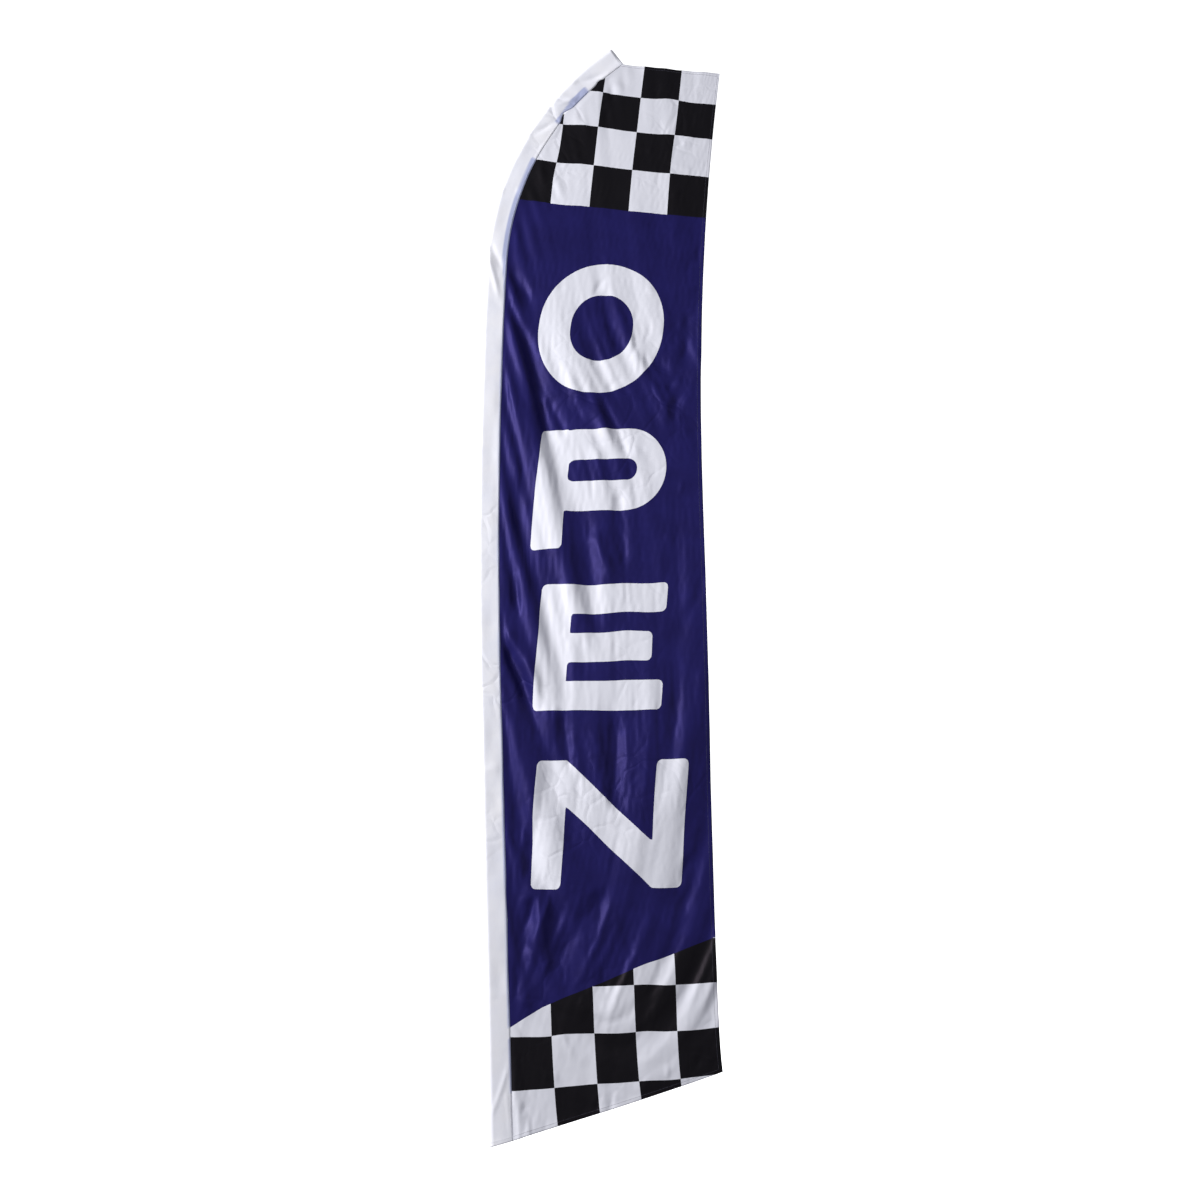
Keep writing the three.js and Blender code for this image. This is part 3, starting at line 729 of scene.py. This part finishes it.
def add_piece(name, verts, faces, material):
    mesh = bpy.data.meshes.new(name)
    mesh.from_pydata(verts, [], faces)
    mesh.shade_smooth()
    mesh.materials.append(material)
    piece = bpy.data.objects.new(name, mesh)
    bpy.context.scene.collection.objects.link(piece)
    return piece


def add_shell(name, points, thick, material):
    """A closed sheet of cloth about a grid of middle points. thick is one value or a grid."""
    rows, columns, _ = points.shape
    lift = grid_normals(points) * (np.broadcast_to(thick, (rows, columns))[..., None] / 2)
    verts = np.concatenate([(points + lift).reshape(-1, 3), (points - lift).reshape(-1, 3)])
    ids, quads = grid_quads(rows, columns)
    back = quads[:, ::-1] + rows * columns
    rim = np.concatenate([ids[0], ids[1:, -1], ids[-1, -2::-1], ids[-2:0:-1, 0]])
    ahead = np.roll(rim, -1)
    walls = np.stack([ahead, rim, rim + rows * columns, ahead + rows * columns], axis=-1)
    faces = np.concatenate([quads, back, walls])
    piece = add_piece(name, verts.tolist(), faces.tolist(), material)
    piece.data.polygons.foreach_set("use_smooth", np.arange(len(faces)) < 2 * len(quads))
    return piece


def add_values(mesh, name, values):
    """A number for each point of a shell's grid, on both of its sides."""
    attribute = mesh.attributes.new(name, "FLOAT", "POINT")
    attribute.data.foreach_set("value", np.tile(values.reshape(-1), 2).astype(np.float32))


def add_cut_map(mesh, u, v):
    layer = mesh.uv_layers.new(name="cut")
    corners = np.empty(len(mesh.loops), np.int64)
    mesh.loops.foreach_get("vertex_index", corners)
    both = np.stack([np.tile(u.reshape(-1), 2), np.tile(v.reshape(-1), 2)], axis=-1)
    layer.data.foreach_set("uv", both[corners].astype(np.float32).reshape(-1))


def cloth_stations(count):
    """Path lengths of the cloth's rows, closer together over the two end hems."""
    inner = np.linspace(SEAM_LOW + HEM, SLEEVE_TOP - HEM, count)
    low = np.array([0, 0.3, 0.85]) * HEM + SEAM_LOW
    high = SLEEVE_TOP - np.array([0.85, 0.3, 0]) * HEM
    return np.concatenate([low, inner, high])


STATIONS = cloth_stations(348)


def panel_columns(count):
    hem = HEM / FLY_OFFSET
    inner = np.linspace(0, 1 - hem, count)
    tucked = -np.array([1.0, 0.5]) * ALLOWANCE / FLY_OFFSET
    return np.concatenate([tucked, inner, 1 - hem * np.array([0.85, 0.3, 0])])


def panel_points(across, s):
    """The panel's middle surface without its folds, on a grid of across by s."""
    across, s = np.meshgrid(across, s)
    up = (s - SEAM_LOW) / (SLEEVE_TOP - SEAM_LOW)
    seam = beside_pole(s, SEAM_OFFSET, 0.0)
    fly_z = FLY_LOW + (FLY_HIGH - FLY_LOW) * up
    fly = np.stack([fly_edge(fly_z), 0 * fly_z, fly_z], axis=-1)
    points = seam + (fly - seam) * across[..., None]
    points[..., 1] = billow(across, points[..., 2])
    return points, across, s


def hem_thickness(across, s):
    """Three layers of cloth in the hems, one elsewhere."""
    in_hem = np.maximum(
        smooth(1 - 1.1 * HEM / FLY_OFFSET, 1 - 0.9 * HEM / FLY_OFFSET, across),
        np.maximum(smooth(SEAM_LOW + 1.1 * HEM, SEAM_LOW + 0.9 * HEM, s),
                   smooth(SLEEVE_TOP - 1.1 * HEM, SLEEVE_TOP - 0.9 * HEM, s)),
    )
    return CLOTH_THICK * (1 + 2 * in_hem)


SETTLE_FRAMES = 30
# The share of each fold that settling presses out, which is laid back afterwards.
FLATTENED = 0.45
# Rows and columns of the coarse grid that settles, and the panel's own fine columns.
COARSE_ROWS = 320
COARSE_COLUMNS = 66
FINE_COLUMNS = 118


def settle(points, across, s):
    """Lets the folded cloth sag and buckle: it is cut wider than it hangs, sewn at the seam, and
    held lightly along its other edges. Gives back how far each point moves."""
    rows, columns = across.shape
    cut = points.copy()
    cut[..., 1] = 0
    spare = 0.055 + 0.030 * smooth(1.2, 0.2, points[..., 2])
    cut[..., 0] += (cut[..., 0] - cut[:, :1, 0]) * spare
    mesh = bpy.data.meshes.new("settling")
    _, quads = grid_quads(rows, columns)
    mesh.from_pydata(points.reshape(-1, 3).tolist(), [], quads.tolist())
    cloth_object = bpy.data.objects.new("settling", mesh)
    bpy.context.scene.collection.objects.link(cloth_object)
    cloth_object.shape_key_add(name="hung")
    cut_key = cloth_object.shape_key_add(name="cut")
    cut_key.data.foreach_set("co", cut.reshape(-1).astype(np.float32))
    cut_key.value = 0
    held = cloth_object.vertex_groups.new(name="held")
    hold = 0.015 + 0.5 * smooth(0.985, 1.0, across) + 0.6 * smooth(SLEEVE_TOP - 0.02, SLEEVE_TOP, s)
    hold = np.where(across < 1e-6, 1.0, np.minimum(hold, 0.9)).reshape(-1)
    for index, weight in enumerate(hold):
        held.add([index], float(weight), "REPLACE")
    modifier = cloth_object.modifiers.new("cloth", "CLOTH")
    settings = modifier.settings
    settings.quality = 6
    settings.mass = 0.12
    settings.air_damping = 3.0
    settings.tension_stiffness = 30
    settings.compression_stiffness = 25
    settings.shear_stiffness = 12
    settings.bending_stiffness = 0.6
    settings.tension_damping = 10
    settings.compression_damping = 10
    settings.shear_damping = 8
    settings.bending_damping = 2
    settings.vertex_group_mass = "held"
    settings.pin_stiffness = 1.0
    settings.rest_shape_key = cut_key
    modifier.collision_settings.use_collision = False
    scene = bpy.context.scene
    for number in range(1, SETTLE_FRAMES + 1):
        scene.frame_set(number)
    moved = cloth_object.evaluated_get(bpy.context.evaluated_depsgraph_get()).to_mesh()
    after = np.empty(rows * columns * 3)
    moved.vertices.foreach_get("co", after)
    bpy.data.objects.remove(cloth_object)
    scene.frame_set(1)
    return after.reshape(rows, columns, 3) - points


def resample(values, rows, columns):
    """A coarse grid of values read off at fractional rows and columns."""
    r0 = np.clip(np.floor(rows).astype(int), 0, values.shape[0] - 2)
    c0 = np.clip(np.floor(columns).astype(int), 0, values.shape[1] - 2)
    fr = (rows - r0)[:, None, None]
    fc = (columns - c0)[None, :, None]
    fr, fc = fr * fr * (3 - 2 * fr), fc * fc * (3 - 2 * fc)
    low = values[r0][:, c0] * (1 - fc) + values[r0][:, c0 + 1] * fc
    high = values[r0 + 1][:, c0] * (1 - fc) + values[r0 + 1][:, c0 + 1] * fc
    return low * (1 - fr) + high * fr


def make_panel():
    columns = panel_columns(FINE_COLUMNS)
    points, across, s = panel_points(columns, STATIONS)
    x, z = points[..., 0].copy(), points[..., 2].copy()
    folds = panel_folds(x, z, across)
    points[..., 1] -= folds
    coarse_columns = np.linspace(0, 1, COARSE_COLUMNS)
    coarse_rows = np.linspace(SEAM_LOW, SLEEVE_TOP, COARSE_ROWS)
    coarse, coarse_across, coarse_s = panel_points(coarse_columns, coarse_rows)
    coarse[..., 1] -= panel_folds(coarse[..., 0], coarse[..., 2], coarse_across)
    moved = settle(coarse, coarse_across, coarse_s)
    rows_between = (STATIONS - SEAM_LOW) / (SLEEVE_TOP - SEAM_LOW) * (COARSE_ROWS - 1)
    columns_between = np.maximum(columns, 0) * (COARSE_COLUMNS - 1)
    points += resample(moved, rows_between, columns_between)
    points[..., 1] -= FLATTENED * folds
    points[..., 1] = ROOM_MIDDLE + ROOM * np.tanh((points[..., 1] - ROOM_MIDDLE) / ROOM)
    panel = add_shell("printed_panel", points, hem_thickness(across, s), printed_cloth())
    u, v = on_cut_cloth(x, z)
    add_values(panel.data, "word", word_distance(u, v))
    add_cut_map(panel.data, u, v)
    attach(panel, "flag")
    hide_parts("flag_panel")
    return panel, points


def drop_section(radius, far, half_seam):
    """Offsets and sides of a strip that lies round the tube and runs flat to a seam at far."""
    start = math.acos(radius / far)
    flank = np.linspace(1, 0, 12)[:-1]
    angle = -(start + (2 * math.pi - 2 * start) * np.linspace(0, 1, 21))
    near, half = radius * math.cos(start), radius * math.sin(start)
    offsets = np.concatenate([near + (far - near) * flank, radius * np.cos(angle),
                              near + (far - near) * flank[::-1]])
    drop = half * (1 - flank) + half_seam * flank
    sides = np.concatenate([-drop, radius * np.sin(angle), drop[::-1]])
    return offsets, sides, np.sign(np.arange(len(sides)) - (len(sides) - 1) / 2)


def seam_shift(s):
    """How far the sleeve's edge wanders off its straight line: a little everywhere, and well back
    where two black checks run in under it near the tip."""
    shift = 0.0012 * lattice_noise(np.asarray(s) / 0.07, 0 * np.asarray(s) + 0.5, 41)
    shift = shift - 0.0130 * np.exp(-((s - 3.332) / 0.024) ** 2)
    return shift - 0.0060 * np.exp(-((s - 3.505) / 0.012) ** 2)


# The main creases of the sleeve, by offset from the pole and path length: each a path, its half
# width, and its height out of the cloth.
SLEEVE_CREASES = [
    ([(0.050, 0.215), (0.022, 0.135), (-0.010, 0.062)], 0.005, 0.0022),
    ([(0.040, 0.150), (0.046, 0.070), (0.051, 0.000)], 0.005, 0.0014),
    ([(-0.012, 2.752), (0.012, 2.690), (0.042, 2.590)], 0.007, 0.0035),
    ([(-0.012, 2.800), (0.020, 2.745), (0.046, 2.700)], 0.008, -0.0030),
    ([(-0.010, 3.200), (0.015, 3.225), (0.046, 3.300)], 0.007, -0.0036),
    ([(-0.008, 3.330), (0.018, 3.350), (0.050, 3.420)], 0.007, 0.0038),
    ([(0.000, 3.440), (0.022, 3.470), (0.050, 3.560)], 0.007, -0.0034),
]


def sleeve_creases(s, offset, face):
    """How far the sleeve's flank stands out from its plain drop shape."""
    rng = np.random.default_rng(5)
    total = np.zeros(s.shape)
    for height in np.arange(0.10, 3.55, 0.075):
        low = height + rng.uniform(-0.03, 0.03)
        tilt = rng.uniform(-0.030, 0.030)
        path = [(-0.008, low), (0.022, low + tilt / 2 + rng.uniform(-0.006, 0.006)), (0.050, low + tilt)]
        side = rng.choice([-1, 1])
        bowed = 1 + 0.9 * smooth(2.70, 2.85, height)
        risen = bowed * fold(offset, s, path, rng.uniform(0.005, 0.009), rng.uniform(-0.0016, 0.0016))
        total += np.where(face == side, risen, 0.4 * risen)
    for path, width, height in SLEEVE_CREASES:
        total += fold(offset, s, path, width, height)
    total += 0.0010 * lattice_noise(s / 0.09, offset / 0.030 + 3 * face + 20, 42)
    return total * smooth(-0.012, 0.004, offset) * smooth(0.056, 0.048, offset)


def sleeve_stations():
    mouth = SLEEVE_LOW + HEM * np.array([0, 0.3, 0.85, 1.0, 1.15])
    return np.concatenate([mouth, STATIONS[STATIONS > SLEEVE_LOW + 2 * HEM]])


def make_sleeve():
    """One strip folded round the pole, both edges sewn to the panel: drop-shaped round the tube,
    flat between the tube and the seam, and folded shut at the tip."""
    seam_half = 0.00052
    least_half = 0.00066
    offsets, sides, face = drop_section(SLEEVE_R - CLOTH_THICK / 2, SEAM_OFFSET, seam_half)
    s = sleeve_stations()
    rows, columns = len(s), len(offsets)
    s_grid = np.repeat(s[:, None], columns, axis=1)
    slanted = HEM_SLANT * (offsets + SLEEVE_R)
    s_grid = s_grid + slanted * smooth(0.20, SLEEVE_LOW, s_grid)
    reach = np.clip(offsets / SEAM_OFFSET, 0, 1) ** 2
    offset_grid = offsets + reach * seam_shift(s)[:, None]
    shut = smooth(SLEEVE_TOP - 0.009, SLEEVE_TOP - 0.002, s_grid)
    side_grid = np.broadcast_to(sides, (rows, columns)) * (1 - 0.85 * shut)
    face_grid = np.broadcast_to(face, (rows, columns))
    room = np.maximum(np.abs(side_grid) - least_half, 0)
    ridge = np.maximum(sleeve_creases(s_grid, offset_grid, face_grid), -room)
    points = beside_pole(s_grid, offset_grid, side_grid + face_grid * ridge)
    hems = np.maximum(smooth(SLEEVE_LOW + 1.1 * HEM, SLEEVE_LOW + 0.9 * HEM, s),
                      smooth(SLEEVE_TOP - 1.1 * HEM, SLEEVE_TOP - 0.9 * HEM, s))
    layers = 1 + 0.9 * hems[:, None] * smooth(0.050, 0.040, offsets)
    layers = layers * (1 - 0.6 * smooth(0.052, 0.056, offsets))
    sleeve = add_shell("pole_sleeve_cloth", points, CLOTH_THICK * layers, sleeve_cloth())
    add_values(sleeve.data, "allowance", allowance_shade(s_grid, offset_grid))
    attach(sleeve, "flag")
    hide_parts("pole_sleeve")
    return sleeve, points, s


def allowance_shade(s, offset):
    """How much of the panel's dark seam allowance shows through the sleeve."""
    points = beside_pole(s, SEAM_OFFSET, 0.0)
    u, v = on_cut_cloth(points[..., 0], points[..., 2])
    column = CHECK_COLUMNS - 1
    row = np.where(v > TOP_CHECKS, np.floor((v - TOP_CHECKS) / TOP_CHECK_ROW),
                   np.floor((v - LOW_CHECKS) / LOW_CHECK_ROW))
    dark_check = (row + column) % 2 == 0
    blue = (v > BLUE_EDGE - BLUE_EDGE_DROP) & (v < TOP_CHECKS)
    width = 0.005 + 0.002 * lattice_noise(s / 0.16, 0 * s + 0.5, 43)
    width = width + 0.011 * smooth(2.60, 2.78, s) + 0.006 * smooth(3.30, 3.45, s)
    inside = smooth(SEAM_OFFSET - width - 0.002, SEAM_OFFSET - width + 0.002, offset)
    return (dark_check | blue) * inside


# ---- Sewing and small cloth pieces -----------------------------------------------------------

STITCH_PITCH = 0.0042
STITCH_LENGTH = 0.0032
STITCH_HALF_WIDTH = 0.00030
STITCH_RISE = 0.00030


def add_stitches(name, rows, node, thread):
    """Lockstitch along lines of cloth: rows holds pairs of a line of surface points and the
    directions out of the cloth. Every stitch is a small cord that dips in at both ends."""
    verts, faces = [], []
    section = np.array([(-1.0, -0.5), (1.0, -0.5), (0.7, 1.0), (-0.7, 1.0)])
    for line, outward in rows:
        steps = np.concatenate([[0], np.cumsum(np.linalg.norm(np.diff(line, axis=0), axis=1))])
        starts = np.arange(STITCH_PITCH / 2, steps[-1] - STITCH_LENGTH, STITCH_PITCH)
        for start in starts:
            ends = []
            for place in (start, start + STITCH_LENGTH):
                point = [np.interp(place, steps, line[:, i]) for i in range(3)]
                out = [np.interp(place, steps, outward[:, i]) for i in range(3)]
                ends.append((np.array(point), np.array(out)))
            (first, out), (last, _) = ends
            out = out / np.linalg.norm(out)
            aside = np.cross(last - first, out)
            aside = aside / max(np.linalg.norm(aside), 1e-9)
            base = len(verts)
            for share, plump in ((0, 0.45), (0.18, 1), (0.82, 1), (1, 0.45)):
                middle = first + (last - first) * share - out * STITCH_RISE * (1 - plump)
                for a, b in section * plump:
                    verts.append(middle + aside * a * STITCH_HALF_WIDTH + out * b * STITCH_RISE)
            faces.append([base, base + 1, base + 2, base + 3])
            faces.append([base + 15, base + 14, base + 13, base + 12])
            for ring in range(3):
                for i in range(4):
                    a, b = base + 4 * ring + i, base + 4 * ring + (i + 1) % 4
                    faces.append([a, a + 4, b + 4, b])
    piece = add_piece(name, [tuple(v) for v in verts], faces, thread)
    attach(piece, "flag")
    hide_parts(node)
    return piece


def both_faces(points, line, thick):
    """A row or column of a cloth grid, on its front and its back."""
    normals = grid_normals(points)[line]
    return [(points[line] + normals * side * thick / 2, normals * side) for side in (1, -1)]


def sew_panel(points):
    """The three hems of the panel, each sewn a hem's width in from the edge."""
    tonal = plain_cloth("hem_thread", linear(52, 52, 74), 0.6, 0.3)
    thick = 3 * CLOTH_THICK
    fly = both_faces(points, np.s_[3:-3, -4], thick)
    top = both_faces(points, np.s_[-4, 2:-3], thick)
    bottom = both_faces(points, np.s_[3, 2:-3], thick)
    return [
        add_stitches("fly_hem_stitches", fly, "fly_hem_thread", tonal),
        add_stitches("top_hem_stitches", top, "top_hem_thread", tonal),
        add_stitches("bottom_hem_stitches", bottom, "bottom_hem_thread", tonal),
    ]


def sew_sleeve(points, s):
    """The seam through both flanks of the sleeve, the hem round its mouth, and its closed tip."""
    white = plain_cloth("seam_thread", linear(222, 223, 230), 0.6, 0.3)
    normals = grid_normals(points)
    if normals[len(s) // 2, len(points[0]) // 2, 0] > 0:
        normals = -normals
    outer = points + normals * CLOTH_THICK / 2
    tip_row = int(np.argmin(np.abs(s - (SLEEVE_TOP - HEM))))
    seam = [(outer[4:, column], normals[4:, column]) for column in (1, -2)]
    mouth = [(outer[3] + normals[3] * CLOTH_THICK * 0.8, normals[3])]
    flat = len(points[0]) // 2
    tip = [(outer[tip_row, :flat - 8], normals[tip_row, :flat - 8]),
           (outer[tip_row, flat + 9:], normals[tip_row, flat + 9:])]
    return [
        add_stitches("seam_stitches", seam, "seam_thread", white),
        add_stitches("mouth_hem_stitches", mouth, "mouth_thread", white),
        add_stitches("tip_stitches", tip, "tip_thread", white),
    ]


def make_tie_tape():
    """Elastic tape round the collar's groove, both of its ends sewn in at the seam."""
    start = math.acos(BAND_R / BAND_TAIL)
    turn = -(start + (2 * math.pi - 2 * start) * np.linspace(0, 1, 33))
    tail = np.linspace(BAND_TAIL, BAND_R * math.cos(start), 14)[:-1]
    flank = BAND_R * math.sin(start) * (BAND_TAIL - tail) / (BAND_TAIL - BAND_R * math.cos(start))
    x = np.concatenate([tail, BAND_R * np.cos(turn), tail[::-1]])
    y = np.concatenate([-flank - 0.0004, BAND_R * np.sin(turn), flank[::-1] + 0.0004])
    height = COLLAR_MIDDLE + BAND_HEIGHT * np.linspace(-0.5, 0.5, 5)
    points = np.stack([*np.broadcast_arrays(x, y, height[:, None])], axis=-1)
    thick = 0.00060 * np.array([0.7, 1.0, 1.0, 1.0, 0.7])[:, None]
    elastic = plain_cloth("elastic_tape", linear(40, 40, 44), 0.9, 0.6)
    tape = add_shell("tie_tape", points, thick, elastic)
    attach(tape, "flag")
    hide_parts("tie_band")


def make_tip_pocket():
    """The heavy cloth cup in the sleeve's end that the rod's cap pushes into."""
    offsets, sides, _ = drop_section(POCKET_R, POCKET_OFFSET, 0.00045)
    cup = np.linspace(CAP_TOP - 0.060, CAP_TOP + 0.001, 24)
    end = CAP_TOP + np.array([0.0022, 0.0030, 0.0034])
    s = np.concatenate([cup, end])[:, None]
    shut = smooth(CAP_TOP + 0.0005, CAP_TOP + 0.0034, s)
    points = beside_pole(s, offsets[None, :], sides * (1 - 0.9 * shut))
    heavy = plain_cloth("pocket_cloth", linear(205, 207, 214), 0.9, 0.5)
    pocket = add_shell("tip_pocket_cloth", points, 0.0008, heavy)
    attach(pocket, "flag")
    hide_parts("tip_pocket")
    return pocket


# ---- The pole's own finishes ----------------------------------------------------------------

def finish_pole():
    black = moulded_plastic("black_plastic", linear(28, 28, 31))
    finishes = {
        "foot_ferrule": black,
        "rod_reducer": black,
        "swivel_collar": black,
        "tip_cap": moulded_plastic("cap_rubber", linear(24, 24, 25)),
        "lower_tube": drawn_metal("aluminium_tube", (0.72, 0.73, 0.75, 1), 0.30),
        "middle_tube": drawn_metal("aluminium_tube_upper", (0.72, 0.73, 0.75, 1), 0.30),
        "joint_spigot": drawn_metal("aluminium_turned", (0.75, 0.76, 0.78, 1), 0.24),
        "lower_stop_ring": drawn_metal("steel_ring", (0.55, 0.56, 0.58, 1), 0.28),
        "tip_rod": glass_fibre(),
    }
    finishes["upper_stop_ring"] = finishes["lower_stop_ring"]
    for node, finish in finishes.items():
        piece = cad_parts[node]
        piece.data.materials.clear()
        piece.data.materials.append(finish)


# ---- Assembly ------------------------------------------------------------------------------

add_camera()
add_stage()
add_lights()
bpy.context.scene.view_settings.view_transform = "Standard"
finish_pole()
panel, panel_grid = make_panel()
sleeve, sleeve_grid, sleeve_s = make_sleeve()
hem_rows = sew_panel(panel_grid)
seam_rows = sew_sleeve(sleeve_grid, sleeve_s)
make_tie_tape()
pocket = make_tip_pocket()
